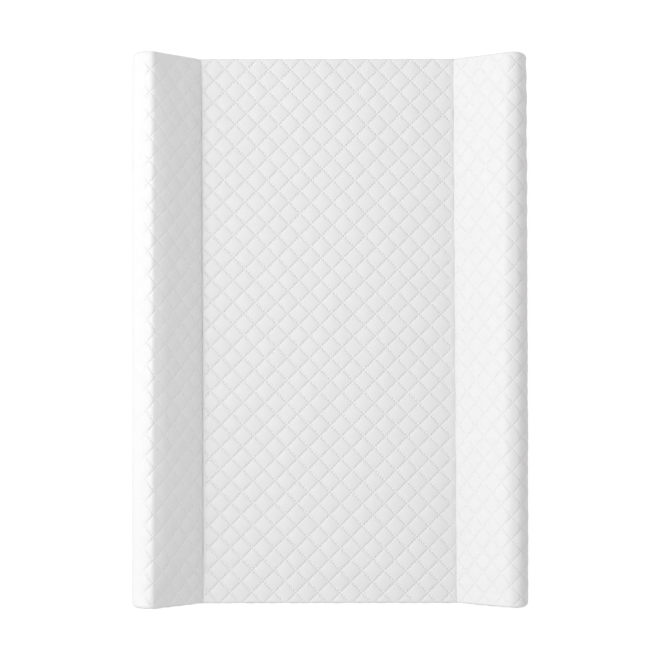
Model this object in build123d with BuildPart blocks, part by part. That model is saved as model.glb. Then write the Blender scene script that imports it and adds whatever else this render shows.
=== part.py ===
"""Changing mat with a hard base and two raised sides.

X runs across the mat, Y from the foot end to the head end, and Z up. The origin is on the ground, under
the middle of the mat. Lengths are in millimetres.
"""

import os
from math import asin, atan2, cos, degrees, hypot, sin, tan

from build123d import *

# Overall size
width = 500.0
length = 700.0
height = 111.0

# The lying surface and the raised sides, measured on the outside of the cover
bed_z = 47.0
fold_x = 162.0
crest_inner_radius = 11.0
crest_outer_radius = 24.0

# Thicknesses
cover = 3.5
hem = 1.5
hem_depth = 30.0
lining = 1.0
board = 3.0
tape = 1.0
tape_foot = 12.0

# Stops under the base
stop_length = 50.0
stop_width = 24.0
stop_corner = 5.0
stop_chamfer = 1.5
stop_x = 190.0
rail_gap_half = 290.0
screw_spacing = 32.0

# Screws and tee nuts
screw_radius = 1.95
screw_hole_radius = 2.2
head_radius = 4.0
head_height = 2.6
head_pocket_radius = 4.6
head_pocket_depth = 5.0
recess_length = 4.6
recess_width = 0.9
recess_depth = 1.4
nut_bore_radius = 2.0
nut_barrel_radius = 2.8
nut_flange_radius = 8.0
nut_flange = 1.0
nut_pocket_radius = 9.0
nut_pocket_depth = 2.5

# Staples
crown_length = 10.0
staple_width = 1.2
wire = 0.6
hem_staple_leg = 4.0
tape_staple_leg = 3.0
staple_inset = 6.0
side_staples = 10
side_staple_pitch = 66.0
end_staples = 7
end_staple_pitch = 60.0
tape_staples_each = 10
tape_staple_pitch = 70.0
foot_clearance = 0.9

# Levels
lining_z = 12.0
hem_z = lining_z + lining
board_z = hem_z + hem
foam_z = board_z + board
lining_top_z = board_z

# Widths and lengths that follow from them
half_width = width / 2
half_length = length / 2
board_half_width = half_width - cover
board_half_length = half_length - cover
hem_inner_x = board_half_width - hem_depth
hem_inner_y = board_half_length - hem_depth
lining_half_width = board_half_width - 11.5
lining_half_length = board_half_length - 11.5
lining_step = 1.0

# The crest is two arcs that meet at its top: a tight one on the inside, and a wide one down to the wall
crest_x = half_width - crest_outer_radius
shoulder_z = height - crest_outer_radius
inner_centre_z = height - crest_inner_radius

# The slope runs from the fold up to the inner arc and is tangent to it
slope_rise = inner_centre_z - bed_z
slope_run = crest_x - fold_x
slope = atan2(slope_rise, slope_run) + asin(crest_inner_radius / hypot(slope_run, slope_rise))

# The tape hangs from the cover's inner fold
tape_x = fold_x + cover * tan(slope / 2)
tape_inner_x = tape_x - tape / 2
tape_outer_x = tape_x + tape / 2


def outward_plane(side):
    """The vertical plane across the mat, with its own x pointing outward to that side and its own y up."""
    return Plane(origin=(0, 0, 0), x_dir=(side, 0, 0), z_dir=(0, -side, 0))


def slope_top(inset):
    """Where the slope meets the inner arc, on the outer surface moved inward by inset."""
    radius = crest_inner_radius - inset
    return crest_x - radius * sin(slope), inner_centre_z + radius * cos(slope)


def mat_section(inset, floor):
    """The mat's cross-section: its outer surface moved inward by inset, closed by a straight floor."""
    wall_x = half_width - inset
    inner_fold = (fold_x + inset * tan(slope / 2), bed_z - inset)
    with BuildSketch() as section:
        with BuildLine():
            Polyline((0, bed_z - inset), (0, floor), (wall_x, floor), (wall_x, shoulder_z))
            TangentArc((wall_x, shoulder_z), (crest_x, height - inset), tangent=(0, 1))
            TangentArc((crest_x, height - inset), slope_top(inset), tangent=(-1, 0))
            Polyline(slope_top(inset), inner_fold, (0, bed_z - inset))
        make_face()
        mirror(about=Plane.YZ)
    return section.sketch_local


def bolster_section():
    """Section of one side's foam, under the cover's slope, crest and wall and outside the tape."""
    foot_of_slope = bed_z - cover + (tape / 2) * tan(slope)
    with BuildSketch() as section:
        with BuildLine():
            Polyline((board_half_width, shoulder_z), (board_half_width, foam_z), (tape_outer_x, foam_z))
            Polyline((tape_outer_x, foam_z), (tape_outer_x, foot_of_slope), slope_top(cover))
            TangentArc((board_half_width, shoulder_z), (crest_x, height - cover), tangent=(0, 1))
            TangentArc((crest_x, height - cover), slope_top(cover), tangent=(-1, 0))
        make_face()
    return section.sketch_local


def centred_row(count, pitch):
    """Places along a line, evenly spaced about zero."""
    return [(i - (count - 1) / 2) * pitch for i in range(count)]


def staple_legs(places, leg, mode=Mode.ADD):
    """Two legs for each staple, standing on the face that its crown lies on."""
    half_span = (crown_length - wire) / 2
    with Locations(*places):
        with Locations((-half_span, 0), (half_span, 0)):
            Box(wire, staple_width, leg, align=(Align.CENTER, Align.CENTER, Align.MIN), mode=mode)


def staple_crowns(places):
    """The crown of each staple, under the face that its legs stand on."""
    with Locations(*places):
        Box(crown_length, staple_width, wire, align=(Align.CENTER, Align.CENTER, Align.MAX))


def finish(builder, name):
    """Labels a piece and writes its file."""
    builder.part.label = name
    export_step(builder.part, f"parts/{name}.step")


# Staples through lining and tucked edges, pointing up into the board
side_staple_x = lining_half_width - staple_inset
end_staple_y = lining_half_length - staple_inset
hem_staple_places = [
    Location((side * side_staple_x, y, lining_z), (0, 0, 90))
    for side in (-1, 1)
    for y in centred_row(side_staples, side_staple_pitch)
] + [
    Location((x, end * end_staple_y, lining_z))
    for end in (-1, 1)
    for x in centred_row(end_staples, end_staple_pitch)
]

# Staples through the tapes' feet, pointing down into the board
tape_staple_x = tape_inner_x - tape_foot / 2
tape_staple_places = [
    Location((side * tape_staple_x, y, foam_z + tape), (180, 0, 90))
    for side in (-1, 1)
    for y in centred_row(tape_staples_each, tape_staple_pitch)
]

# Screws, two to a stop
stop_y = rail_gap_half - stop_width / 2
screw_places = [
    (side * stop_x + step, end * stop_y)
    for side in (-1, 1)
    for end in (-1, 1)
    for step in (-screw_spacing / 2, screw_spacing / 2)
]

os.makedirs("parts", exist_ok=True)

# Base board: thin and hard, bored for the tee nuts
with BuildPart() as base_board:
    with BuildSketch(Plane.XY.offset(board_z)):
        RectangleRounded(2 * board_half_width, 2 * board_half_length, 2)
    extrude(amount=board)
    with BuildSketch(Plane.XY.offset(board_z)):
        with Locations(*screw_places):
            Circle(nut_barrel_radius)
    extrude(amount=board, mode=Mode.SUBTRACT)
    staple_legs(hem_staple_places, hem_staple_leg, Mode.SUBTRACT)
    staple_legs(tape_staple_places, tape_staple_leg, Mode.SUBTRACT)
finish(base_board, "base_board")

# Bed foam: a slab between the tapes, relieved over their feet
with BuildPart() as bed_foam:
    with BuildSketch(Plane.XY.offset(foam_z)):
        Rectangle(2 * tape_inner_x, 2 * board_half_length)
    extrude(amount=bed_z - cover - foam_z)
    with BuildSketch(Plane.XY.offset(foam_z)):
        foot_relief = tape_foot + foot_clearance
        with Locations((-tape_inner_x + foot_relief / 2, 0), (tape_inner_x - foot_relief / 2, 0)):
            Rectangle(foot_relief, 2 * board_half_length)
    extrude(amount=tape + foot_clearance, mode=Mode.SUBTRACT)
finish(bed_foam, "bed_foam")

# Bolster foam: a straight prism on each long side, with pockets over the tee nuts' flanges
for side_name, side in (("left", -1), ("right", 1)):
    with BuildPart() as bolster_foam:
        with BuildSketch(outward_plane(side)):
            add(bolster_section())
        extrude(amount=board_half_length, both=True)
        with BuildSketch(Plane.XY.offset(foam_z)):
            with Locations(*screw_places):
                Circle(nut_pocket_radius)
        extrude(amount=nut_pocket_depth, mode=Mode.SUBTRACT)
    finish(bolster_foam, f"{side_name}_bolster_foam")

# Valley tape: a web from the cover's inner fold down to the board, and a foot under the bed foam
for side_name, side in (("left", -1), ("right", 1)):
    with BuildPart() as valley_tape:
        with BuildSketch(outward_plane(side)):
            web_height = bed_z - cover - foam_z
            with Locations((tape_x, foam_z + web_height / 2)):
                Rectangle(tape, web_height)
            with Locations((tape_inner_x - tape_foot / 2, foam_z + tape / 2)):
                Rectangle(tape_foot, tape)
        extrude(amount=board_half_length, both=True)
        staple_legs(tape_staple_places, tape_staple_leg, Mode.SUBTRACT)
    finish(valley_tape, f"{side_name}_valley_tape")

# Quilted cover: one sheet from tucked edge to tucked edge, over walls, crests, slopes, folds and bed
with BuildPart() as quilted_cover:
    with BuildSketch(Plane.XZ):
        add(mat_section(0, hem_z))
        add(mat_section(cover, board_z), mode=Mode.SUBTRACT)
        with Locations((0, hem_z + hem / 2)):
            Rectangle(2 * hem_inner_x, hem, mode=Mode.SUBTRACT)
    extrude(amount=half_length, both=True)
    staple_legs(hem_staple_places, hem_staple_leg, Mode.SUBTRACT)
finish(quilted_cover, "quilted_cover")

# End panels: the same sheet standing under the cover's end edge, tucked under the board
for end_name, end in (("head", 1), ("foot", -1)):
    with BuildPart() as end_panel:
        with BuildSketch(Plane.XZ.offset(-end * half_length)):
            add(mat_section(cover, board_z))
        extrude(amount=end * cover)
        with BuildSketch(Plane.XY.offset(hem_z)):
            with Locations((0, end * (half_length + hem_inner_y) / 2)):
                Rectangle(2 * hem_inner_x, half_length - hem_inner_y)
        extrude(amount=hem)
        staple_legs(hem_staple_places, hem_staple_leg, Mode.SUBTRACT)
    finish(end_panel, f"{end_name}_end_panel")

# Underside lining: a thin sheet over the tucked edges that steps up to the board inside them
with BuildPart() as underside_lining:
    with BuildSketch(Plane.XY.offset(lining_z)):
        Rectangle(2 * lining_half_width, 2 * lining_half_length)
    extrude(amount=lining)
    with BuildSketch(Plane.XY.offset(lining_z)):
        Rectangle(2 * hem_inner_x, 2 * hem_inner_y)
    extrude(amount=lining_top_z - lining_z)
    with BuildSketch(Plane.XY.offset(lining_z)):
        Rectangle(2 * (hem_inner_x - lining_step), 2 * (hem_inner_y - lining_step))
    extrude(amount=lining_top_z - lining - lining_z, mode=Mode.SUBTRACT)
    with BuildSketch(Plane.XY.offset(lining_z)):
        with Locations(*screw_places):
            Circle(screw_hole_radius)
    extrude(amount=lining_top_z - lining_z, mode=Mode.SUBTRACT)
    staple_legs(hem_staple_places, hem_staple_leg, Mode.SUBTRACT)
finish(underside_lining, "underside_lining")

# Stops: blocks that the mat stands on, with their outward faces spaced to fit between two rails
stop_height = lining_top_z - lining
for end_name, end in (("head", 1), ("foot", -1)):
    for side_name, side in (("left", -1), ("right", 1)):
        with BuildPart() as stop:
            with BuildSketch():
                with Locations((side * stop_x, end * stop_y)):
                    RectangleRounded(stop_length, stop_width, stop_corner)
            extrude(amount=stop_height)
            chamfer(stop.faces().sort_by(Axis.Z)[0].edges(), stop_chamfer)
            for step in (-screw_spacing / 2, screw_spacing / 2):
                screw_at = (side * stop_x + step, end * stop_y, 0)
                with Locations(Plane(origin=screw_at, z_dir=(0, 0, -1))):
                    CounterBoreHole(screw_hole_radius, head_pocket_radius, head_pocket_depth)
        finish(stop, f"{end_name}_{side_name}_stop")

# Stop screws: head against the pocket's seat, shank up through the tee nut, crossed slots in the head
nut_top_z = foam_z + nut_flange
head_face_z = head_pocket_depth - head_height
with BuildPart() as stop_screws:
    with BuildSketch(Plane.XY.offset(head_face_z)):
        with Locations(*screw_places):
            Circle(head_radius)
    extrude(amount=head_height)
    with BuildSketch(Plane.XY.offset(head_pocket_depth)):
        with Locations(*screw_places):
            Circle(screw_radius)
    extrude(amount=nut_top_z - head_pocket_depth)
    with BuildSketch(Plane.XY.offset(head_face_z)):
        with Locations(*screw_places):
            Rectangle(recess_length, recess_width)
            Rectangle(recess_width, recess_length)
    extrude(amount=recess_depth, mode=Mode.SUBTRACT)
finish(stop_screws, "stop_screws")

# Stop nuts: a barrel in the board and a flange on top of it
with BuildPart() as stop_nuts:
    with BuildSketch(Plane.XY.offset(board_z)):
        with Locations(*screw_places):
            Circle(nut_barrel_radius)
    extrude(amount=board)
    with BuildSketch(Plane.XY.offset(foam_z)):
        with Locations(*screw_places):
            Circle(nut_flange_radius)
    extrude(amount=nut_flange)
    with BuildSketch(Plane.XY.offset(board_z)):
        with Locations(*screw_places):
            Circle(nut_bore_radius)
    extrude(amount=board + nut_flange, mode=Mode.SUBTRACT)
finish(stop_nuts, "stop_nuts")

# Cover staples: through the lining and the tucked edges into the board
with BuildPart() as cover_staples:
    staple_crowns(hem_staple_places)
    staple_legs(hem_staple_places, hem_staple_leg)
finish(cover_staples, "cover_staples")

# Tape staples: through the tapes' feet into the board
with BuildPart() as tape_staples:
    staple_crowns(tape_staple_places)
    staple_legs(tape_staple_places, tape_staple_leg)
finish(tape_staples, "tape_staples")

print(f"slope {degrees(slope):.1f} degrees, {len(hem_staple_places)} cover staples, {len(screw_places)} screws")
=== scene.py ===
"""The looks of the changing mat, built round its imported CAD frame.

X runs across the mat, Y from the foot end to the head end, and Z up. Lengths are in metres.
"""

import math

import bpy
import numpy as np
from mathutils import Matrix, Vector
from mathutils.geometry import delaunay_2d_cdt


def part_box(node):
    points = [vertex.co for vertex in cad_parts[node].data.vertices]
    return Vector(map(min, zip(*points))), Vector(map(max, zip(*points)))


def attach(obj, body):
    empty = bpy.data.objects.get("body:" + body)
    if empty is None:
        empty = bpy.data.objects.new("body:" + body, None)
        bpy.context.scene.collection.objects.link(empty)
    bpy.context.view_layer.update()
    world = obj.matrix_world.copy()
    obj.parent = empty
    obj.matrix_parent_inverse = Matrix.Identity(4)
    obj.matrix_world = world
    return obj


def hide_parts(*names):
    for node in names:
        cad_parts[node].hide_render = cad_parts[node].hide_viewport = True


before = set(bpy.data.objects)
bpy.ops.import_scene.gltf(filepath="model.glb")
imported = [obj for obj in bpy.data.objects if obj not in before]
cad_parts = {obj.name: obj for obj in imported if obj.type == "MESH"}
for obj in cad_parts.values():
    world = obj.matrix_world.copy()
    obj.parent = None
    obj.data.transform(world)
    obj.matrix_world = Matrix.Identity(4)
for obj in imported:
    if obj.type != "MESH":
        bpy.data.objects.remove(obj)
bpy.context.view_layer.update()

# Sizes from the frame
cover_low, cover_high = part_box("quilted_cover")
half_width, half_length, crest_height = cover_high
hem_z = cover_low.z
board_half_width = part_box("base_board")[1].x
cover_thickness = half_width - board_half_width
bed_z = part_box("bed_foam")[1].z + cover_thickness
foam_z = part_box("bed_foam")[0].z
stops = [f"{end}_{side}_stop" for end in ("head", "foot") for side in ("left", "right")]

# The section follows the CAD model's, with one side's foam a little fuller than the other's
fold_x = 0.162
crests = {
    -1: {"x": half_width - 0.0268, "top": crest_height + 0.0050, "inner_radius": 0.0055, "shoulder": 0.029},
    1: {"x": half_width - 0.0155, "top": crest_height - 0.0040, "inner_radius": 0.021, "shoulder": 0.027},
}
bottom_radius = 0.0025
hem_depth = 0.030
hem_inner_x = board_half_width - hem_depth
hem_inner_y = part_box("base_board")[1].y - hem_depth
fold_shift = -0.0010
fold_skew = -0.0036

# The section's points are a sample apart, and their corners and normals are eased over so many samples
sample = 0.0001
corner_easing = 8
normal_easing = 22

# The sheet turns down over the ends and is sewn to the end panels
bed_end_radius = 0.003
wall_end_radius = 0.007
lower_end_radius = 0.0006
end_fade = 0.008
seam_width = 0.0022
seam_depth = 0.0011
seam_reach = 0.012

# Quilting: square cells stood on their corners, with welded dashes along the lines
cell_steps = 20
dashes_per_side = 5
step_s = 0.02813 / cell_steps
step_w = 0.02860 / cell_steps
phase_s = 0.0043
phase_w = -0.0077
column_drift = 0.0155
row_drift_bed = -0.0049
row_drift_left = -0.0455
row_drift_right = 0.0153
pillow_height = 0.00060
line_rise = 0.00020
dash_depth = 0.00060
gap_depth = 0.00025
groove_half_width = 0.0017
shared_rows = 6
uneven_fullness = 0.16

# The share of the quilting's relief that each side keeps, by place across the mat
reliefs = {
    -1: {"slope": 0.70, "slope_top": 0.48, "crest": 0.95, "shoulder": 0.14, "wall": 0.70, "hem": 0.20},
    1: {"slope": 0.76, "slope_top": 0.66, "crest": 0.72, "shoulder": 0.95, "wall": 0.90, "hem": 0.20},
}

# The fold: a dip, and a pinch that hides a little of the sheet
bed_dip_width = 0.0040
dips = {
    -1: {"bed": 0.0001, "slope": 0.0018, "slope_width": 0.0180},
    1: {"bed": 0.0006, "slope": 0.0006, "slope_width": 0.0040},
}
pinch_length = 0.0024
pinch_depths = {-1: 0.0002, 1: 0.0008}
pinch_half_width = 0.00025
relief_fade = 0.0050

# Simulated skin and lining: grid steps, what drives them, and the most that a point may move
cloth_stiffness = 30
cloth_damping = 3
fold_column = 12
skin_step = fold_x / fold_column
skin_rows = 25
skin_pressure = 2.0
skin_frames = 20
skin_cap = 0.0030
skin_pin_margin = 0.008
wall_swell = 0.10
lining_step = 0.0100
lining_edge = 0.001
staple_reach = 0.7 * lining_step
stop_margin = 0.006
lining_gravity = 0.15
lining_slack = 0.004
lining_frames = 30
lining_cap = 0.0028
lining_thickness = 0.0006
lining_clearance = 0.00005
lining_fineness = 3
lining_on_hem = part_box("underside_lining")[0].z + lining_thickness / 2 + lining_clearance
lining_on_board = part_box("underside_lining")[1].z - lining_thickness / 2 - lining_clearance

# Smooth unevenness: its height and its wavelength
cover_waves = (0.00018, 0.060)
calm_reach = 0.03
panel_waves = (0.0002, 0.05)
lining_waves = (0.0002, 0.05)
foam_waves = (0.00012, 0.09)

# The foam blocks
foam_ring_spacing = 0.004
foam_station_spacing = 0.008
outline_stride = 8
tape_relief_height = 0.0016
tape_relief_width = 0.008

# The end panels: where their quilting starts, how they bulge, and how they are tucked under the board
panel_phase_x = 0.0041
panel_phase_z = 0.006
panel_fade = 0.004
panel_bulge = 0.0007
bulge_reach = 0.03
panel_turn = bottom_radius * math.pi / 2
tuck_taper = 0.002
tuck_relief = 0.00025
outline_clearance = 0.0009

# Inner faces of the sheets, seen from their outer ones
inner_face = -0.0031
hem_inner_face = -0.0012
panel_inner_face = -0.0026
tuck_inner_face = -0.0008
inner_spacing = 0.009
gap = 0.0003


def smooth(values, sigma):
    """values blurred along their first axis by a Gaussian of sigma samples."""
    reach = int(3 * sigma)
    kernel = np.exp(-0.5 * (np.arange(-reach, reach + 1) / sigma) ** 2)
    kernel /= kernel.sum()
    padded = np.pad(values, ((reach, reach), (0, 0)), mode="reflect", reflect_type="odd")
    return np.stack([np.convolve(column, kernel, mode="valid") for column in padded.T], axis=1)


def arc(centre, radii, start, end, count=60):
    """Points of an arc of a circle or an upright ellipse, with its angles in radians."""
    angles = np.linspace(start, end, count)
    return [(centre[0] + radii[0] * math.cos(a), centre[1] + radii[1] * math.sin(a)) for a in angles]


def section_table(side):
    """The section of one side, from the bed's middle to the hem's edge, as points a sample apart."""
    crest = crests[side]
    inner = (crest["x"], crest["top"] - crest["inner_radius"])
    outer = (crest["x"], crest["top"] - crest["shoulder"])
    run, rise = inner[0] - fold_x, inner[1] - bed_z
    slope = math.atan2(rise, run) + math.asin(crest["inner_radius"] / math.hypot(run, rise))
    corner = (half_width - bottom_radius, hem_z + bottom_radius)
    points = [(0, bed_z), (fold_x, bed_z)]
    points += arc(inner, (crest["inner_radius"],) * 2, math.pi / 2 + slope, math.pi / 2)
    points += arc(outer, (half_width - crest["x"], crest["shoulder"]), math.pi / 2, 0)[1:]
    points += arc(corner, (bottom_radius,) * 2, 0, -math.pi / 2)
    points += [(hem_inner_x, hem_z)]
    points = np.array(points)
    lengths = np.hypot(*np.diff(points, axis=0).T)
    along = np.concatenate([[0], np.cumsum(lengths)])
    even = np.arange(0, along[-1], sample)
    path = np.stack([np.interp(even, along, points[:, k]) for k in (0, 1)], axis=1)
    path = smooth(path, corner_easing)
    tangent = np.gradient(path, axis=0)
    tangent = smooth(tangent, normal_easing)
    tangent /= np.linalg.norm(tangent, axis=1)[:, None]
    normal = np.stack([-tangent[:, 1], tangent[:, 0]], axis=1)
    # the bed's middle and the fold, then 60 points for each arc, the second of which starts on the first
    marks = {"fold": along[1], "slope_top": along[2], "crest": along[61]}
    marks.update({"shoulder": along[120], "corner": along[121]})
    return {"s": even, "path": path, "normal": normal, **marks}


tables = {side: section_table(side) for side in (-1, 1)}


def section(s):
    """The section at the distances s round it: points, outward normals, and how far they follow the fold."""
    x, z, nx, nz, follow = (np.zeros_like(s) for _ in range(5))
    for side, table in tables.items():
        here = (s < 0) if side < 0 else (s >= 0)
        distance = np.abs(s[here])
        beyond = distance - table["fold"]
        lost = np.interp(beyond, [0, pinch_length], [0, pinch_length])
        creep = np.interp(beyond, [0, pinch_length], [-pinch_half_width, pinch_half_width])
        in_pinch = (beyond > 0) & (beyond < pinch_length)
        on_path = np.where(in_pinch, table["fold"] + creep, distance - lost)
        x[here] = side * np.interp(on_path, table["s"], table["path"][:, 0])
        z[here] = np.interp(on_path, table["s"], table["path"][:, 1])
        nx[here] = side * np.interp(on_path, table["s"], table["normal"][:, 0])
        nz[here] = np.interp(on_path, table["s"], table["normal"][:, 1])
        follow[here] = np.interp(on_path, [table["fold"], table["slope_top"]], [1, 0])
    return x, z, nx, nz, follow


def fold_distance(s):
    """How far s is from the nearer fold, outside the pinch."""
    return np.maximum(np.abs(np.abs(s) - fold_x - pinch_length / 2) - pinch_length / 2, 0)


def end_radius_at(s):
    """The end's rounding: tight on the bed and slopes, wider on the walls, and run out at the lower edge."""
    radius = np.empty_like(s)
    for side, table in tables.items():
        here = (s < 0) if side < 0 else (s >= 0)
        places = [table["crest"], table["shoulder"], table["corner"] - seam_reach, table["corner"]]
        radii = [bed_end_radius, wall_end_radius, wall_end_radius, lower_end_radius]
        radius[here] = np.interp(np.abs(s[here]) - pinch_length, places, radii)
    return radius


def sheet_half_length(s):
    """Half the sheet's length at s, measured round its rolled ends."""
    return half_length + (math.pi / 2 - 1) * end_radius_at(s)


def place(s, w, out):
    """Points of the sheet at s round the section and w along it, moved outward by out."""
    x, z, nx, nz, follow = section(s)
    radius = end_radius_at(s)
    turn = np.clip((np.abs(w) - half_length + radius) / radius, 0, math.pi / 2)
    y = np.where(turn > 0, half_length - radius + radius * np.sin(turn), np.abs(w))
    inset = radius * (1 - np.cos(turn)) - out * np.cos(turn)
    y = np.sign(w) * (y + out * np.sin(turn))
    return np.stack([x - nx * inset + (fold_shift + fold_skew * y) * follow, y, z - nz * inset], axis=1)


def row_shift(s):
    """How far the quilting's rows lie off straight, as on a sheet that was pulled a little askew."""
    crest = fold_x + 0.100
    places = [-crest, -fold_x, fold_x, crest]
    at_fold = row_drift_bed * fold_x
    shifts = [-at_fold - row_drift_left * 0.100, -at_fold, at_fold, at_fold + row_drift_right * 0.100]
    return np.interp(s, places, shifts)


def waves(a, b, seed, wavelength, count=14):
    """Smooth unevenness between about -1 and 1, from plane waves of random direction."""
    random = np.random.default_rng(seed)
    total = np.zeros_like(a)
    for _ in range(count):
        angle, shift = random.uniform(0, 2 * math.pi, 2)
        number = 2 * math.pi / (wavelength * random.uniform(0.7, 1.6))
        total += np.sin(number * (a * math.cos(angle) + b * math.sin(angle)) + shift)
    return total / math.sqrt(count)


def grid_quads(number):
    """The cells of a grid of vertex numbers."""
    corners = [number[:-1, :-1], number[1:, :-1], number[1:, 1:], number[:-1, 1:]]
    return np.stack(corners, axis=-1).reshape(-1, 4)


def simulate_sheet(points, pinned, frames, pressure=0.0, gravity=0.0, slack=0.0):
    """Where cloth simulation takes a grid of points whose pinned ones hold still."""
    rows, columns = pinned.shape
    number = np.arange(rows * columns).reshape(rows, columns)
    mesh = bpy.data.meshes.new("simulated")
    mesh.from_pydata(points.reshape(-1, 3).tolist(), [], grid_quads(number).tolist())
    sheet = bpy.data.objects.new("simulated", mesh)
    scene = bpy.context.scene
    scene.collection.objects.link(sheet)
    pins = sheet.vertex_groups.new(name="pins")
    pins.add(number[pinned].tolist(), 1.0, "REPLACE")
    cloth = sheet.modifiers.new("cloth", "CLOTH")
    cloth.settings.vertex_group_mass = "pins"
    cloth.settings.shrink_min = -slack
    cloth.settings.tension_stiffness = cloth_stiffness
    cloth.settings.compression_stiffness = cloth_stiffness
    cloth.settings.air_damping = cloth_damping
    cloth.settings.use_pressure = pressure != 0
    cloth.settings.uniform_pressure_force = pressure
    cloth.settings.effector_weights.gravity = gravity
    cloth.point_cache.frame_end = frames
    for frame_number in range(1, frames + 1):
        scene.frame_set(frame_number)
    result = sheet.evaluated_get(bpy.context.evaluated_depsgraph_get()).data
    moved = np.empty(rows * columns * 3, np.float32)
    result.vertices.foreach_get("co", moved)
    scene.frame_set(1)
    bpy.data.objects.remove(sheet)
    bpy.data.meshes.remove(mesh)
    return moved.reshape(points.shape).astype(float)


def capped(distance, cap):
    """distance, eased so that it never passes cap."""
    return cap * np.tanh(distance / cap)


def spline_sample(values, u, v):
    """A grid's values at fractional places u and v, by a uniform cubic B-spline."""
    values = np.pad(values, 2, mode="edge")
    total = np.zeros_like(u)
    weights = []
    for place_on in (u, v):
        part = place_on - np.floor(place_on)
        weights.append([
            (1 - part) ** 3 / 6,
            (3 * part ** 3 - 6 * part ** 2 + 4) / 6,
            (-3 * part ** 3 + 3 * part ** 2 + 3 * part + 1) / 6,
            part ** 3 / 6,
        ])
    row, column = np.floor(u).astype(int) + 1, np.floor(v).astype(int) + 1
    for a in range(4):
        for b in range(4):
            at_row = np.clip(row + a, 0, values.shape[0] - 1)
            at_column = np.clip(column + b, 0, values.shape[1] - 1)
            total += weights[0][a] * weights[1][b] * values[at_row, at_column]
    return total


def simulate_skin():
    """How far pressure from the foam swells the sheet between its folds, seams and lower edges, on a grid."""
    lower = {side: table["corner"] + pinch_length for side, table in tables.items()}
    count = int(max(lower.values()) / skin_step) + 2
    k, j = np.meshgrid(np.arange(-count, count + 1), np.arange(-skin_rows, skin_rows + 1), indexing="ij")
    s = (k * skin_step).ravel()
    w = j.ravel() / skin_rows * sheet_half_length(s)
    rest = place(s, w, np.zeros_like(s))
    _, _, nx, nz, _ = section(s)
    pinned = (np.abs(k) == fold_column) | (np.abs(j) == skin_rows)
    pinned |= (k * skin_step > lower[1] - skin_pin_margin) | (k * skin_step < skin_pin_margin - lower[-1])
    moved = simulate_sheet(rest.reshape(*k.shape, 3), pinned, skin_frames, pressure=skin_pressure)
    change = moved.reshape(-1, 3) - rest
    swell = change[:, 0] * nx + change[:, 2] * nz
    for side, table in tables.items():
        here = (s < 0) if side < 0 else (s > 0)
        wall = np.interp(np.abs(s), [table["crest"], table["shoulder"]], [1, wall_swell])
        swell = np.where(here, swell * wall, swell)
    return capped(swell, skin_cap).reshape(k.shape)


def skin_swell(grid, s, w):
    """The simulated swelling at s round the section and w along it."""
    return spline_sample(grid, s / skin_step + grid.shape[0] // 2, (w / sheet_half_length(s) + 1) * skin_rows)


def relief_share(s):
    """How much of the quilting's relief the sheet keeps."""
    share = np.ones_like(s)
    for side, table in tables.items():
        here = (s < 0) if side < 0 else (s >= 0)
        steps = [
            (table["fold"], 1),
            (table["fold"] + 0.010, reliefs[side]["slope"]),
            (table["slope_top"] - 0.004, reliefs[side]["slope_top"]),
            (table["slope_top"] + 0.006, reliefs[side]["crest"]),
            (table["crest"], reliefs[side]["crest"]),
            (table["crest"] + 0.014, reliefs[side]["shoulder"]),
            (table["shoulder"], reliefs[side]["shoulder"]),
            (table["shoulder"] + 0.020, reliefs[side]["wall"]),
            (table["corner"], reliefs[side]["wall"]),
            (table["corner"] + 0.009, reliefs[side]["hem"]),
        ]
        share[here] = np.interp(np.abs(s[here]) - pinch_length, *zip(*steps))
    return share


def inner_offset(s):
    """How far inside the sheet's face its inner face lies: closer on the hems, which lie under the board."""
    offset = np.full_like(s, inner_face)
    for side, table in tables.items():
        here = (s < 0) if side < 0 else (s >= 0)
        turn = table["corner"] + pinch_length
        offset[here] = np.interp(np.abs(s[here]), [turn, turn + 0.004], [inner_face, hem_inner_face])
    return offset


def quilt_relief(i, j, seed):
    """Height of the quilting at lattice steps i and j: pillows with grooves between, pressed in dashes."""
    first, second = i + j, i - j
    p, q = (first % cell_steps) / cell_steps, (second % cell_steps) / cell_steps
    cell = (first // cell_steps) * 7919 + (second // cell_steps) * 104729 + seed
    fullness = 1 + uneven_fullness * np.sin(cell * 12.9898)
    rise_p, rise_q = np.sin(math.pi * p), np.sin(math.pi * q)
    relief = fullness * (pillow_height * (rise_p * rise_q) ** 0.85 + line_rise * (rise_p + rise_q))
    diagonal_step = math.hypot(step_s, step_w) / 2
    groove = np.zeros_like(relief)
    for across, along in ((first, second), (second, first)):
        distance = diagonal_step * np.abs((across + cell_steps // 2) % cell_steps - cell_steps // 2)
        pressed = 0.5 + 0.5 * np.cos(2 * math.pi * along * dashes_per_side / cell_steps)
        depth = gap_depth + (dash_depth - gap_depth) * pressed
        groove = np.maximum(groove, depth * np.clip(1 - distance / groove_half_width, 0, 1) ** 1.2)
    return relief - groove


def grid_triangles(i, j, number):
    """Triangles of the grid's cells, split along the quilting's lines. A missing corner's number is -1."""
    corners = grid_quads(number)
    low_i, low_j = i[:-1, :-1].ravel(), j[:-1, :-1].ravel()
    rising = (low_i - low_j) % 2 == 0
    rising = np.where((low_i - low_j) % cell_steps == 0, True, rising)
    rising = np.where((low_i + low_j + 1) % cell_steps == 0, False, rising)
    inside = corners >= 0
    whole = inside.all(axis=1)
    up, down = corners[whole & rising], corners[whole & ~rising]
    parts = [up[:, [0, 1, 2]], up[:, [0, 2, 3]], down[:, [0, 1, 3]], down[:, [1, 2, 3]]]
    for missing in range(4):
        three = inside.sum(axis=1) == 3
        kept = [k for k in range(4) if k != missing]
        parts.append(corners[three & ~inside[:, missing]][:, kept])
    return np.concatenate(parts)


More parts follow.
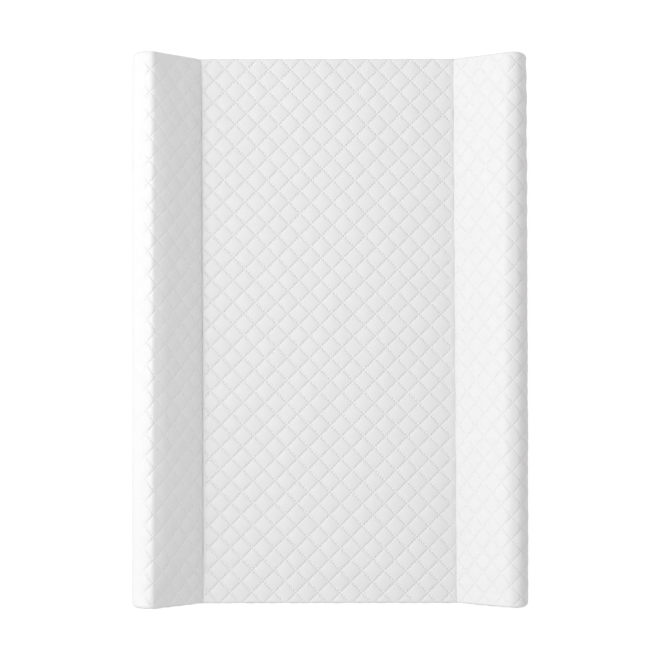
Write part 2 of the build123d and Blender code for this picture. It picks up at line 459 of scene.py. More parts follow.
def border_loop(triangles):
    """The sheet's border as one loop of vertex numbers, in the triangles' own sense."""
    edges = np.concatenate([triangles[:, [0, 1]], triangles[:, [1, 2]], triangles[:, [2, 0]]])
    key = np.sort(edges, axis=1)
    _, first, uses = np.unique(key, axis=0, return_index=True, return_counts=True)
    follow = dict(edges[first[uses == 1]].tolist())
    start = next(iter(follow))
    loop = [start]
    while follow[loop[-1]] != start:
        loop.append(follow[loop[-1]])
    return np.array(loop)


def signed_area(flat, triangles):
    """Twice the area of flat triangles, negative where they go clockwise."""
    first, second, third = (flat[triangles[:, k]] for k in range(3))
    return np.cross(second - first, third - first).sum()


def close_sheet(points, triangles, flat, inner_place):
    """Adds the sheet's inner face, much coarser, and its rim, so that the piece is a closed solid."""
    loop = border_loop(triangles)
    rim = flat[loop]
    low, high = rim.min(axis=0), rim.max(axis=0)
    grid = np.meshgrid(*(np.arange(low[k] + inner_spacing / 2, high[k], inner_spacing) for k in (0, 1)))
    inner = np.stack([axis.ravel() for axis in grid], axis=1)
    candidates = np.concatenate([rim, inner])
    edges = [(k, (k + 1) % len(rim)) for k in range(len(rim))]
    result = delaunay_2d_cdt([Vector(p) for p in candidates], edges, [list(range(len(rim)))], 1, 1e-7)
    spots = np.array([tuple(p) for p in result[0]])
    faces = np.array(result[2])
    match = {origin: k for k, origins in enumerate(result[3]) for origin in origins}
    start = len(points)
    back = inner_place(spots[:, 0], spots[:, 1])
    inner_rim = np.array([match[k] for k in range(len(rim))]) + start
    if signed_area(spots, faces) * signed_area(flat, triangles) > 0:
        faces = faces[:, ::-1]
    ahead, inner_ahead = np.roll(loop, -1), np.roll(inner_rim, -1)
    sides = np.concatenate([
        np.stack([ahead, loop, inner_rim], axis=1),
        np.stack([ahead, inner_rim, inner_ahead], axis=1),
    ])
    return np.concatenate([points, back]), np.concatenate([triangles, faces + start, sides])


def make_mesh(name, points, triangles, uv=None, relief=None):
    """A smooth-shaded mesh object from arrays, with the quilting's coordinates and its strength if given."""
    mesh = bpy.data.meshes.new(name)
    mesh.vertices.add(len(points))
    mesh.vertices.foreach_set("co", points.astype(np.float32).ravel())
    mesh.loops.add(triangles.size)
    mesh.loops.foreach_set("vertex_index", triangles.astype(np.int32).ravel())
    mesh.polygons.add(len(triangles))
    mesh.polygons.foreach_set("loop_start", np.arange(0, triangles.size, 3, dtype=np.int32))
    mesh.polygons.foreach_set("use_smooth", np.ones(len(triangles), bool))
    if uv is not None:
        layer = mesh.uv_layers.new(name="quilt")
        layer.data.foreach_set("uv", uv[triangles.ravel()].astype(np.float32).ravel())
    if relief is not None:
        strength = mesh.attributes.new("relief", "FLOAT", "POINT")
        strength.data.foreach_set("value", relief.astype(np.float32))
    mesh.update(calc_edges=True)
    mesh.validate()
    piece = bpy.data.objects.new(name, mesh)
    bpy.context.scene.collection.objects.link(piece)
    return piece


def cover_lattice():
    """The quilting's lattice on the cover: steps i and j, places s and w, the ends, and what is kept."""
    reach = {side: table["s"][-1] + pinch_length for side, table in tables.items()}
    columns, rows = int((max(reach.values()) + 0.010) / step_s), int((half_length + 0.030) / step_w)
    i, j = np.meshgrid(np.arange(-columns, columns + 1), np.arange(-rows, rows + 1), indexing="ij")
    s = step_s * i + phase_s
    w = step_w * j + phase_w + row_shift(s)
    s = s + column_drift * w
    limit = sheet_half_length(s)
    over = np.abs(w) - limit
    nearest = np.abs(over) <= step_w / 2
    for sign in (-1, 1):
        # the row nearest to the end lies exactly on it, and the rows before it share the change
        at_end = nearest & (np.sign(w) == sign)
        shift = np.where(at_end, over, 0).sum(axis=1, keepdims=True)
        row = (j * at_end).sum(axis=1, keepdims=True)
        share = np.clip(1 - np.abs(j - row) / shared_rows, 0, 1)
        w = w - sign * shift * share
    keep = (np.abs(w) <= limit + 1e-6) & (s < reach[1]) & (s > -reach[-1])
    return i, j, s, w, limit, keep


def eased(values):
    """values kept between 0 and 1, with a smooth start and end."""
    values = np.clip(values, 0, 1)
    return values * values * (3 - 2 * values)


def fold_depth(s, from_fold):
    """How far the sheet is drawn in beside the folds and in their pinches."""
    in_pinch = np.clip((np.abs(s) - fold_x) / pinch_length, 0, 1)
    drawn = np.where(s < 0, pinch_depths[-1], pinch_depths[1]) * (1 - np.abs(2 * in_pinch - 1))
    for side, dip in dips.items():
        width = np.where(in_pinch > 0, dip["slope_width"], bed_dip_width)
        depth = dip["bed"] + (dip["slope"] - dip["bed"]) * in_pinch
        drawn += depth * np.clip(1 - from_fold / width, 0, 1) ** 2 * (np.sign(s) == side)
    return drawn


def seam_dip(distance):
    """How far a sheet is drawn in at its seam."""
    return seam_depth * np.clip(1 - distance / seam_width, 0, 1) ** 2


def cover_relief(i, j, s, w, from_end):
    """How far the cover stands off its section, and how much of the quilting's relief it keeps."""
    from_fold = fold_distance(s)
    fade = eased(np.clip(from_fold / relief_fade, 0, 1) * np.clip(from_end / end_fade, 0, 1))
    relief = fade * relief_share(s)
    height, wavelength = cover_waves
    calm = np.clip(from_fold / calm_reach, 0, 1) * np.clip(relief_share(s), 0, 1)
    out = quilt_relief(i, j, 1) * relief + skin_swell(simulate_skin(), s, w)
    out += height * waves(s, w, 3, wavelength) * calm
    return out - fold_depth(s, from_fold) - seam_dip(from_end), relief


def with_inner_face(values, count):
    """The outer face's values, and zeros behind them for the inner face's vertices, to count rows in all."""
    return np.concatenate([values, np.zeros((count - len(values), *values.shape[1:]))])


def build_cover():
    """The quilted sheet over the bed, both folds, slopes, crests and walls, with its hems under the board."""
    i, j, s, w, limit, keep = cover_lattice()
    number = np.where(keep, np.cumsum(keep.ravel()).reshape(keep.shape) - 1, -1)
    triangles = grid_triangles(i, j, number)
    i, j, s, w, limit = (values[keep] for values in (i, j, s, w, limit))
    out, relief = cover_relief(i, j, s, w, limit - np.abs(w))

    def inner_place(a, b):
        return place(a, b, inner_offset(a))

    solid, faces = close_sheet(place(s, w, out), triangles, np.stack([s, w], axis=1), inner_place)
    uv = with_inner_face(np.stack([i + j, i - j], axis=1) / cell_steps, len(solid))
    return make_mesh("cover_sheet", solid, faces, uv, with_inner_face(relief, len(solid)))


def seam_outline(end):
    """The line where the sheet's end meets an end panel, as x and z, from one lower edge to the other."""
    lower = {side: table["corner"] + pinch_length for side, table in tables.items()}
    s = np.linspace(-lower[-1], lower[1], int((lower[-1] + lower[1]) / step_s))
    points = place(s, end * sheet_half_length(s), np.zeros_like(s))
    return points[:, 0], points[:, 2]


def border_distance(points, outline):
    """Distance from each point to the nearest of the outline's points, in the sheet's own plane."""
    nearest = np.full(len(points), np.inf)
    for spot in outline:
        nearest = np.minimum(nearest, np.hypot(*(points - spot).T))
    return nearest


def panel_outline(end):
    """An end panel's flat outline: its seam from side to side, then its tuck under the board. Gives both."""
    x, z = seam_outline(end)
    seam = np.stack([x, z - hem_z - bottom_radius + panel_turn], axis=1)[::-1]
    seam[0, 1] = seam[-1, 1] = panel_turn / 2
    tuck = [
        (-hem_inner_x, panel_turn / 2),
        (-hem_inner_x + tuck_taper, -hem_depth),
        (hem_inner_x - tuck_taper, -hem_depth),
        (hem_inner_x, panel_turn / 2),
    ]
    return seam, np.concatenate([seam, tuck])


def panel_lattice(seam, outline, end):
    """The quilting's lattice inside an end panel's outline: its steps i and j, and its places."""
    columns = int(half_width / step_s)
    low, high = int(-(hem_depth + 0.002) / step_w), int(crest_height / step_w)
    i, j = np.meshgrid(np.arange(-columns, columns + 1), np.arange(low, high), indexing="ij")
    i, j = i.ravel(), j.ravel()
    nodes = np.stack([step_s * i + panel_phase_x * end, step_w * j + panel_phase_z], axis=1)
    across, up = np.abs(nodes[:, 0]), nodes[:, 1]
    inside = up < np.interp(nodes[:, 0], seam[::-1, 0], seam[::-1, 1])
    inside &= (up > panel_turn / 2) | (across < hem_inner_x - tuck_taper)
    inside &= (across < seam[0, 0]) & (up > -hem_depth)
    i, j, nodes = i[inside], j[inside], nodes[inside]
    clear = border_distance(nodes, outline) > outline_clearance
    return i[clear], j[clear], nodes[clear]


def line_edges(i, j, first):
    """The lattice's edges that lie on the quilting's lines, as vertex numbers that count from first."""
    known = {pair: k + first for k, pair in enumerate(zip(i.tolist(), j.tolist()))}
    edges = []
    for (a, b), k in known.items():
        if (a + b) % cell_steps == 0 and (a + 1, b - 1) in known:
            edges.append((k, known[a + 1, b - 1]))
        if (a - b) % cell_steps == 0 and (a + 1, b + 1) in known:
            edges.append((k, known[a + 1, b + 1]))
    return edges


def place_panel(end, across, up, out):
    """Points of an end panel: upright, turned at the lower edge, and then level under the board."""
    angle = np.clip(up / bottom_radius, 0, math.pi / 2)
    drop = np.clip(up, None, 0)
    rise = np.clip(up - panel_turn, 0, None)
    y = half_length - gap - bottom_radius * (1 - np.sin(angle)) + drop + out * np.sin(angle)
    z = hem_z + bottom_radius * (1 - np.cos(angle)) + rise - np.clip(out, None, tuck_relief) * np.cos(angle)
    return np.stack([across, end * y, z], axis=1)


def build_end_panel(name, end):
    """The quilted panel standing at one end, from the seam down and tucked under the board."""
    seam, outline = panel_outline(end)
    i, j, nodes = panel_lattice(seam, outline, end)
    border = len(outline)
    edges = [(k, (k + 1) % border) for k in range(border)] + line_edges(i, j, border)
    spots = [Vector(p) for p in np.concatenate([outline, nodes])]
    result = delaunay_2d_cdt(spots, edges, [list(range(border))], 1, 1e-7)
    flat = np.array([tuple(p) for p in result[0]])
    triangles = np.array(result[2])
    source = np.array([origins[0] for origins in result[3]])
    on_lattice = source >= border
    steps = np.zeros((len(flat), 2), int)
    steps[on_lattice] = np.stack([i, j], axis=1)[source[on_lattice] - border]
    from_seam = border_distance(flat, seam)
    fade = np.clip(from_seam / panel_fade, 0, 1)
    height, wavelength = panel_waves
    out = np.where(on_lattice, quilt_relief(steps[:, 0], steps[:, 1], 5 + end), 0) * eased(fade)
    out += panel_bulge * np.clip(from_seam / bulge_reach, 0, 1)
    out += height * waves(flat[:, 0], flat[:, 1], 8 + end, wavelength) * fade
    out -= seam_dip(from_seam)
    # the triangles go round clockwise seen from the head end's outside, and the other way at the foot end
    triangles = triangles if end < 0 else triangles[:, ::-1]

    def inner_place(a, b):
        return place_panel(end, a, b, np.where(b > 0, panel_inner_face, tuck_inner_face))

    points = place_panel(end, flat[:, 0], flat[:, 1], out)
    solid, faces = close_sheet(points, triangles, flat, inner_place)
    uv = np.stack([steps[:, 0] + steps[:, 1], steps[:, 0] - steps[:, 1]], axis=1) / cell_steps
    relief = np.where(on_lattice, fade, 0)
    return make_mesh(name, solid, faces, with_inner_face(uv, len(solid)), with_inner_face(relief, len(solid)))


def build_prism(name, outline, length, soft, seed):
    """A foam block cut to an outline in x and z, with ends rounded by soft and a slightly uneven surface."""
    outline = np.array(outline)
    ring = np.concatenate([outline, outline[:1]])
    lengths = np.hypot(*np.diff(ring, axis=0).T)
    along = np.concatenate([[0], np.cumsum(lengths)])
    even = np.linspace(0, along[-1], int(along[-1] / foam_ring_spacing), endpoint=False)
    ring = np.stack([np.interp(even, along, ring[:, k]) for k in (0, 1)], axis=1)
    ahead, behind = np.roll(ring, -1, axis=0), np.roll(ring, 1, axis=0)
    normal = np.stack([(ahead - behind)[:, 1], -(ahead - behind)[:, 0]], axis=1)
    normal /= np.linalg.norm(normal, axis=1)[:, None]
    turns = np.linspace(0, math.pi / 2, 6)
    caps = [(length - soft * (1 - math.sin(a)), soft * (1 - math.cos(a))) for a in turns]
    middle = np.linspace(-caps[0][0], caps[0][0], int(2 * length / foam_station_spacing))
    stations = [(-y, inset) for y, inset in caps[:0:-1]] + [(y, 0) for y in middle] + caps[1:]
    count = len(ring)
    points = []
    height, wavelength = foam_waves
    for y, inset in stations:
        # nine times faster round the block than along it
        uneven = height * waves(even * 9, np.full(count, y), seed, wavelength) - height
        across = ring + normal * (uneven - inset)[:, None]
        points.append(np.stack([across[:, 0], np.full(count, y), across[:, 1]], axis=1))
    points = np.concatenate(points)
    a = np.arange(count)
    b = (a + 1) % count
    rows = np.arange(len(stations) - 1)[:, None] * count
    quads = np.stack([rows + a, rows + b, rows + b + count, rows + a + count], axis=-1).reshape(-1, 4)
    triangles = np.concatenate([quads[:, [0, 2, 1]], quads[:, [0, 3, 2]]])
    edges = [(k, (k + 1) % count) for k in range(count)]
    for first, flip in ((0, False), ((len(stations) - 1) * count, True)):
        loop = points[first:first + count, [0, 2]]
        result = delaunay_2d_cdt([Vector(p) for p in loop], edges, [list(range(count))], 1, 1e-7)
        cap = np.array([[result[3][k][0] for k in face] for face in result[2]]) + first
        triangles = np.concatenate([triangles, cap[:, ::-1] if flip else cap])
    return make_mesh(name, points, triangles)


def bolster_outline(side):
    """Outline of one side's foam: under the cover from the tape's web round to the board's edge."""
    table = tables[side]
    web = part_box("right_valley_tape")[1].x
    under = table["path"] - table["normal"] * (-inner_face + 2 * gap)
    kept = under[(table["s"] > fold_x + 0.001) & (under[:, 0] > web + gap) & (under[:, 1] > foam_z + gap)]
    kept = kept[::outline_stride]
    points = [(web + gap, foam_z + gap)] + [tuple(p) for p in kept] + [(kept[-1][0], foam_z + gap)]
    return [(side * x, z) for x, z in points][::-side]


def bed_outline():
    """Outline of the bed's foam, relieved at its lower corners over the tapes' feet."""
    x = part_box("bed_foam")[1].x - gap
    top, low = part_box("bed_foam")[1].z - gap, foam_z + gap
    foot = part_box("right_valley_tape")[0].x - 2 * gap
    step = low + tape_relief_height
    half = [(foot - tape_relief_width, low), (foot, step), (x, step), (x, top)]
    return half + [(-x, z) for x, z in half[::-1]]


def lining_grid():
    """The lining's coarse grid at rest: places, the level of its middle, and the points that hold still."""
    low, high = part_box("underside_lining")
    rows, columns = (int(round((high[k] - low[k]) / lining_step)) for k in (0, 1))
    spread = [np.linspace(low.x, high.x, rows + 1), np.linspace(low.y, high.y, columns + 1)]
    x, y = np.meshgrid(*spread, indexing="ij")
    past_x, past_y = (np.abs(x) - hem_inner_x) / lining_step, (np.abs(y) - hem_inner_y) / lining_step
    over_hem = np.clip(np.maximum(past_x, past_y) + 1, 0, 1)
    level = lining_on_board + (lining_on_hem - lining_on_board) * over_hem
    pinned = (np.abs(x) > high.x - lining_edge) | (np.abs(y) > high.y - lining_edge)
    staples = np.array([tuple(vertex.co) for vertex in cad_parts["cover_staples"].data.vertices])
    crowns = staples[staples[:, 2] < low.z]
    for crown_x, crown_y in np.unique(np.round(crowns[:, :2] / lining_step), axis=0) * lining_step:
        pinned |= np.hypot(x - crown_x, y - crown_y) < staple_reach
    for stop in stops:
        near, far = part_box(stop)
        over_x = (x > near.x - stop_margin) & (x < far.x + stop_margin)
        over_y = (y > near.y - stop_margin) & (y < far.y + stop_margin)
        pinned |= over_x & over_y
    return x, y, level, pinned


def fine_lining():
    """The lining's finer grid: flat places, the level of its middle, and the grid's vertex numbers."""
    x, y, level, pinned = lining_grid()
    height, wavelength = lining_waves
    rest = np.stack([x, y, level + height * waves(x, y, 41, wavelength) * ~pinned], axis=-1)
    moved = simulate_sheet(rest, pinned, lining_frames, gravity=lining_gravity, slack=lining_slack)
    drop = capped(np.clip(rest[..., 2] - moved[..., 2], 0, None), lining_cap) * ~pinned
    rows, columns = x.shape[0] - 1, x.shape[1] - 1
    steps = [np.arange(count * lining_fineness + 1) / lining_fineness for count in (rows, columns)]
    a, b = np.meshgrid(*steps, indexing="ij")
    number = np.arange(a.size).reshape(a.shape)
    a, b = a.ravel(), b.ravel()
    z = np.minimum(spline_sample(level, a, b) - spline_sample(drop, a, b), lining_on_board)
    low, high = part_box("underside_lining")
    flat = np.stack([low.x + (high.x - low.x) * a / rows, low.y + (high.y - low.y) * b / columns], axis=1)
    on_hem = (np.abs(flat[:, 0]) > hem_inner_x) | (np.abs(flat[:, 1]) > hem_inner_y)
    return flat, np.where(on_hem, np.minimum(z, lining_on_hem), z), number


def build_lining():
    """The thin sheet stapled under the board, a little slack between its staples and the stops."""
    flat, z, number = fine_lining()
    quads = grid_quads(number)
    triangles = np.concatenate([quads[:, [0, 1, 2]], quads[:, [0, 2, 3]]])
    under = np.column_stack([flat, z - lining_thickness / 2])
    over = np.column_stack([flat, z + lining_thickness / 2])
    loop = border_loop(triangles)
    ahead = np.roll(loop, -1)
    count = len(flat)
    sides = np.concatenate([
        np.stack([loop, ahead, loop + count], axis=1),
        np.stack([ahead, ahead + count, loop + count], axis=1),
    ])
    faces = np.concatenate([triangles[:, ::-1], triangles + count, sides])
    return make_mesh("lining_cloth", np.concatenate([under, over]), faces)


def aim(thing, target, roll=0.0):
    """Turns a camera or lamp to look at target, with its top towards the head end."""
    direction = (Vector(target) - thing.location).normalized()
    right = direction.cross(Vector((0, 1, 0))).normalized()
    up = right.cross(direction)
    turn = Matrix((right, up, -direction)).transposed()
    thing.rotation_euler = (turn @ Matrix.Rotation(roll, 3, "Z")).to_euler()


def add_camera():
    """A long lens high over the mat, a little towards its foot end."""
    camera = bpy.data.objects.new("camera", bpy.data.cameras.new("camera"))
    camera.data.lens = 113.4
    camera.data.sensor_width = 36.0
    camera.location = (0, -0.063, bed_z + 2.670)
    aim(camera, (0, 0, bed_z), math.radians(-0.075))
    camera.data.shift_x = 0.0006
    camera.data.shift_y = 0.0002
    bpy.context.scene.collection.objects.link(camera)
    bpy.context.scene.camera = camera


class Graph:
    """A material's nodes, added and joined by short calls. Its positions are the object's own, in metres."""

    def __init__(self, name, **shader_values):
        self.material = bpy.data.materials.new(name)
        self.material.use_nodes = True
        self.tree = self.material.node_tree
        self.shader = self.tree.nodes["Principled BSDF"]
        for socket, value in shader_values.items():
            self.shader.inputs[socket.replace("_", " ")].default_value = value
        self.place = self.node("ShaderNodeTexCoord").outputs["Object"]

    def node(self, kind, inputs=None, **settings):
        made = self.tree.nodes.new(kind)
        for name, value in settings.items():
            setattr(made, name, value)
        for key, value in (inputs or {}).items():
            if isinstance(value, bpy.types.NodeSocket):
                self.tree.links.new(value, made.inputs[key])
            else:
                made.inputs[key].default_value = value
        return made

    def math(self, operation, *values):
        return self.node("ShaderNodeMath", dict(enumerate(values)), operation=operation).outputs[0]

    def noise(self, scale, detail=2.0, roughness=0.5, stretch=(1, 1, 1)):
        placed = self.node("ShaderNodeMapping", {"Vector": self.place, "Scale": stretch}).outputs[0]
        inputs = {"Vector": placed, "Scale": scale, "Detail": detail, "Roughness": roughness}
        return self.node("ShaderNodeTexNoise", inputs).outputs["Fac"]

    def cells(self, scale):
        return self.node("ShaderNodeTexVoronoi", {"Vector": self.place, "Scale": scale}).outputs[0]

    def fit(self, value, low, high, new_low, new_high, curve="LINEAR"):
        inputs = {"Value": value, "From Min": low, "From Max": high, "To Min": new_low, "To Max": new_high}
        return self.node("ShaderNodeMapRange", inputs, interpolation_type=curve).outputs[0]

    def mix(self, factor, first, second):
        # a mix node's sockets 6 and 7 are its two colours, and its output 2 the mixed one
        inputs = {0: factor, 6: (*first, 1), 7: (*second, 1)}
        return self.node("ShaderNodeMix", inputs, data_type="RGBA").outputs[2]

    def bump(self, height, distance, below=None):
        inputs = {"Height": height, "Distance": distance, "Strength": 1.0}
        if below is not None:
            inputs["Normal"] = below
        return self.node("ShaderNodeBump", inputs).outputs[0]

    def finish(self, colour=None, roughness=None, normal=None):
        for socket, value in (("Base Color", colour), ("Roughness", roughness), ("Normal", normal)):
            if value is not None:
                self.tree.links.new(value, self.shader.inputs[socket])
        return self.material


def weld_masks(graph):
    """1 on the quilting's lines, and 1 in their dashes. The lines lie at its coordinates' whole numbers."""
    quilt = graph.node("ShaderNodeUVMap", uv_map="quilt").outputs[0]
    coordinates = graph.node("ShaderNodeSeparateXYZ", {0: quilt})
    lines, dashes = [], []
    for across, along in ((0, 1), (1, 0)):
        offset = graph.math("PINGPONG", coordinates.outputs[across], 0.5)
        count = graph.math("MULTIPLY", coordinates.outputs[along], float(dashes_per_side))
        beat = graph.math("PINGPONG", count, 0.5)
        narrow = graph.fit(offset, 0.0, 0.10, 1, 0, "SMOOTHSTEP")
        short = graph.fit(beat, 0.08, 0.46, 1, 0, "SMOOTHSTEP")
        lines.append(narrow)
        dashes.append(graph.math("MULTIPLY", narrow, short))
    strength = graph.node("ShaderNodeAttribute", attribute_name="relief").outputs["Fac"]
    return [graph.math("MULTIPLY", graph.math("MAXIMUM", *masks), strength) for masks in (lines, dashes)]


def coated_sheet():
    """White coated sheet: fine grain, faint mottling, and welded lines pressed in dashes. The lines are
    painted lighter, as painted light that offsets the shade in their grooves.
    """
    graph = Graph("coated_sheet")
    lines, dashes = weld_masks(graph)
    mottle = graph.noise(55, 3.0)
    # painted light: the lines' lighter colour offsets the shade that falls in their grooves
    shade = graph.math("MAXIMUM", graph.fit(mottle, 0.3, 0.7, 0, 0.4), lines)
    colour = graph.mix(shade, (0.839, 0.840, 0.841), (0.888, 0.889, 0.889))
    roughness = graph.fit(graph.noise(240, 2.0), 0.3, 0.7, 0.42, 0.54)
    grain = graph.bump(graph.noise(1700, 2.0), 0.00006)
    creases = graph.bump(graph.noise(260, 3.0, 0.6), 0.00022, grain)
    pressed = graph.bump(graph.fit(dashes, 0, 1, 1, 0), 0.00070, creases)
    return graph.finish(colour, roughness, pressed)


def foam_material():
    """Pale open-cell foam."""
    graph = Graph("foam", Roughness=0.95)
    pores = graph.cells(900)
    colour = graph.mix(graph.fit(pores, 0.1, 0.6, 0, 1), (0.60, 0.56, 0.42), (0.86, 0.83, 0.70))
    surface = graph.bump(graph.math("ADD", pores, graph.noise(160, 3.0)), 0.0005)
    return graph.finish(colour, None, surface)


def weave(graph, pitch):
    """A plain weave's height: two sets of threads a pitch apart, each over and under the other."""
    position = graph.node("ShaderNodeSeparateXYZ", {0: graph.place})
    waves_on = []
    for axis in (0, 1):
        turns = graph.math("MULTIPLY", position.outputs[axis], 2 * math.pi / pitch)
        waves_on.append(graph.math("SINE", turns))
    return graph.math("MULTIPLY", *waves_on)


def webbing_material():
    """White woven webbing with a fuzz of loose fibres."""
    graph = Graph("webbing", Roughness=0.85)
    threads = weave(graph, 0.0014)
    colour = graph.mix(graph.fit(threads, -1, 1, 0, 1), (0.66, 0.66, 0.65), (0.82, 0.82, 0.81))
    fuzz = graph.bump(graph.noise(1500, 3.0), 0.0001)
    return graph.finish(colour, None, graph.bump(threads, 0.0003, fuzz))


def lining_material():
    """White non-woven cloth: matted fibres with a grid of embossed dots."""
    graph = Graph("lining_sheet", Roughness=0.9)
    grid = {"Vector": graph.place, "Scale": 420, "Randomness": 0.0}
    dots = graph.node("ShaderNodeTexVoronoi", grid, voronoi_dimensions="2D").outputs[0]
    dots = graph.fit(dots, 0.22, 0.42, 0, 1, "SMOOTHSTEP")
    fibres = graph.noise(700, 4.0, 0.65, (1.0, 0.35, 1.0))
    shade = graph.math("MULTIPLY", graph.fit(fibres, 0.3, 0.7, 0.2, 1), graph.fit(dots, 0, 1, 0.55, 1))
    colour = graph.mix(shade, (0.66, 0.66, 0.66), (0.82, 0.82, 0.82))
    surface = graph.bump(dots, 0.00025, graph.bump(fibres, 0.00015))
    return graph.finish(colour, graph.fit(dots, 0, 1, 0.6, 0.95), surface)


def hardboard_material():
    """Brown fibreboard: pressed fibres, darker specks and a faint wire texture."""
    graph = Graph("hardboard", Roughness=0.75)
    fibres = graph.noise(260, 6.0, 0.7, (1.0, 0.5, 1.0))
    specks = graph.fit(graph.noise(620, 2.0), 0.60, 0.72, 1, 0.45, "SMOOTHSTEP")
    shade = graph.math("MULTIPLY", graph.fit(fibres, 0.3, 0.7, 0, 1), specks)
    colour = graph.mix(shade, (0.17, 0.10, 0.055), (0.40, 0.26, 0.15))
    surface = graph.bump(weave(graph, 0.0011), 0.00012, graph.bump(fibres, 0.0002))
    return graph.finish(colour, graph.fit(fibres, 0.3, 0.7, 0.65, 0.85), surface)


def plastic_material():
    """Off-white moulded plastic: spark-eroded grain, and slight scuffs that are a little glossier."""
    graph = Graph("stop_plastic")
    scuffs = graph.fit(graph.noise(60, 5.0, 0.7, (1.0, 4.0, 1.0)), 0.56, 0.68, 0, 1, "SMOOTHSTEP")
    colour = graph.mix(graph.math("MULTIPLY", scuffs, 0.7), (0.78, 0.78, 0.765), (0.68, 0.68, 0.66))
    grain = graph.bump(graph.noise(2200, 3.0), 0.00008)
    return graph.finish(colour, graph.fit(scuffs, 0, 1, 0.52, 0.38), graph.bump(scuffs, 0.00004, grain))


def zinc_material():
    """Zinc plate: bright, in faint grains of slightly different tone, with fine turning marks."""
    graph = Graph("zinc_steel", Metallic=1.0)
    grains = graph.cells(700)
    tarnish = graph.noise(180, 4.0, 0.6)
    shade = graph.math("MULTIPLY", graph.fit(grains, 0, 0.8, 0.7, 1), graph.fit(tarnish, 0.35, 0.65, 0.7, 1))
    colour = graph.mix(shade, (0.42, 0.43, 0.45), (0.72, 0.73, 0.75))
    marks = graph.bump(graph.noise(2600, 2.0), 0.00003)
    return graph.finish(colour, graph.fit(tarnish, 0.35, 0.65, 0.42, 0.26), marks)


def wire_material():
    """Flattened galvanised wire with drawing lines along it."""
    graph = Graph("staple_wire", Metallic=1.0)
    lines = graph.noise(900, 2.0, 0.5, (1.0, 1.0, 6.0))
    colour = graph.mix(graph.fit(lines, 0.3, 0.7, 0, 1), (0.45, 0.45, 0.46), (0.74, 0.74, 0.75))
    return graph.finish(colour, graph.fit(lines, 0.3, 0.7, 0.28, 0.46), graph.bump(lines, 0.00003))


def paint(pieces, material):
    """Gives a material to pieces of the scene or to the frame's own nodes."""
    for piece in pieces:
        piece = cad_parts.get(piece, piece) if isinstance(piece, str) else piece
        if not piece.material_slots:
            piece.data.materials.append(material)
        for slot in piece.material_slots:
            slot.link = "OBJECT"
            slot.material = material


def add_panel(name, location, size, energy, target=(0, 0, 0)):
    """A soft rectangular lamp that no camera sees."""
    lamp = bpy.data.lights.new(name, "AREA")
    lamp.shape = "RECTANGLE"
    lamp.size, lamp.size_y = size
    lamp.energy = energy
    panel = bpy.data.objects.new(name, lamp)
    panel.location = location
    bpy.context.scene.collection.objects.link(panel)
    aim(panel, target)
    panel.visible_camera = False
    return panel


def add_world():
    """A soft white studio: an even part, and more from the left and, a trace pinker, the right."""
    world = bpy.data.worlds.new("studio")
    bpy.context.scene.world = world
    world.use_nodes = True
    tree = world.node_tree
    direction = tree.nodes.new("ShaderNodeSeparateXYZ")
    tree.links.new(tree.nodes.new("ShaderNodeTexCoord").outputs["Generated"], direction.inputs[0])
    total = None
    for sign, colour in ((-1, (0.695, 0.695, 0.695)), (1, (0.345, 0.318, 0.337))):
        facing = tree.nodes.new("ShaderNodeMath")
        facing.operation = "MULTIPLY"
        facing.use_clamp = True
        facing.inputs[1].default_value = sign
        tree.links.new(direction.outputs["X"], facing.inputs[0])
        part = tree.nodes.new("ShaderNodeVectorMath")
        part.operation = "MULTIPLY_ADD"
        part.inputs[1].default_value = colour
        part.inputs[2].default_value = (0.510, 0.510, 0.510)
        tree.links.new(facing.outputs[0], part.inputs[0])
        if total is not None:
            tree.links.new(total, part.inputs[2])
        total = part.outputs[0]
    background = tree.nodes["Background"]
    background.inputs["Strength"].default_value = 1.0
    tree.links.new(total, background.inputs["Color"])


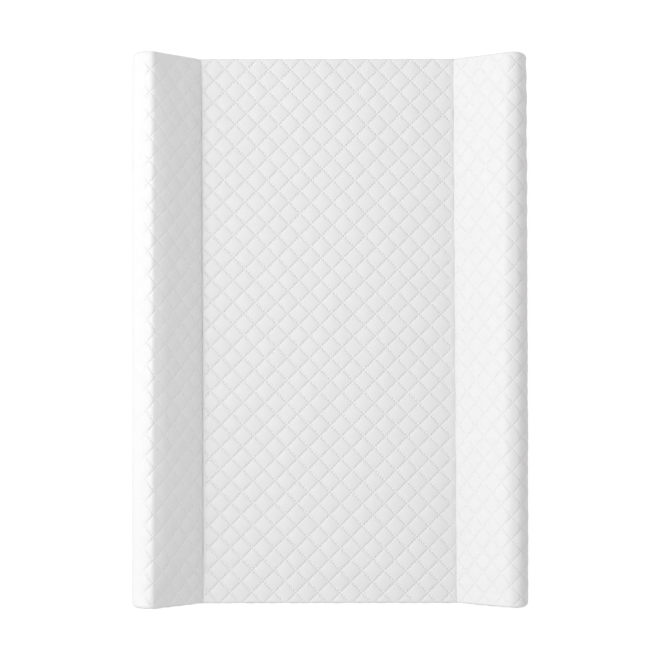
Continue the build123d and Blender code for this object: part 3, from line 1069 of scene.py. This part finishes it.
def add_floor(reach=20.0):
    """A plain pale floor, lit from within where it is seen, so that it stays near white round the mat."""
    mesh = bpy.data.meshes.new("floor")
    corners = [(-reach, -reach, 0), (reach, -reach, 0), (reach, reach, 0), (-reach, reach, 0)]
    mesh.from_pydata(corners, [], [(0, 1, 2, 3)])
    floor = bpy.data.objects.new("floor", mesh)
    bpy.context.scene.collection.objects.link(floor)
    graph = Graph("floor", Roughness=0.9)
    graph.shader.inputs["Specular IOR Level"].default_value = 0.1
    graph.shader.inputs["Emission Color"].default_value = (1, 1, 1, 1)
    seen = graph.node("ShaderNodeLightPath").outputs["Is Camera Ray"]
    graph.tree.links.new(graph.math("MULTIPLY", seen, 0.88), graph.shader.inputs["Emission Strength"])
    graph.finish(graph.mix(seen, (0.8, 0.8, 0.8), (0.22, 0.22, 0.22)))
    mesh.materials.append(graph.material)


# The soft pieces
cover = build_cover()
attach(cover, "root")
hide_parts("quilted_cover")

panels = []
for end_name, end in (("head", 1), ("foot", -1)):
    panel = build_end_panel(f"{end_name}_panel_sheet", end)
    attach(panel, "root")
    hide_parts(f"{end_name}_end_panel")
    panels.append(panel)

foams = [("bed_foam_block", "bed_foam", bed_outline(), 0.0012, 21)]
foams += [(f"{name}_bolster_block", f"{name}_bolster_foam", bolster_outline(side), 0.0030, 30 + side)
          for name, side in (("left", -1), ("right", 1))]
blocks = []
for name, node, outline, soft, seed in foams:
    block = build_prism(name, outline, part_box("bed_foam")[1].y - gap, soft, seed)
    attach(block, "root")
    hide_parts(node)
    blocks.append(block)

lining = build_lining()
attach(lining, "root")
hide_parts("underside_lining")

# Camera and materials
add_camera()
paint([cover] + panels, coated_sheet())
paint(blocks, foam_material())
paint([lining], lining_material())
paint(["base_board"], hardboard_material())
paint(["left_valley_tape", "right_valley_tape"], webbing_material())
paint(stops, plastic_material())
paint(["stop_screws", "stop_nuts"], zinc_material())
paint(["cover_staples", "tape_staples"], wire_material())

# Light and floor
add_panel("left_softbox", (-0.9, 0.1, 1.2), (0.5, 1.2), 5.30)
add_panel("head_softbox", (-1.1, 1.2, 1.5), (0.8, 0.8), 3.78)
add_world()
add_floor()
bpy.context.scene.view_settings.view_transform = "Standard"

bpy.context.view_layer.update()
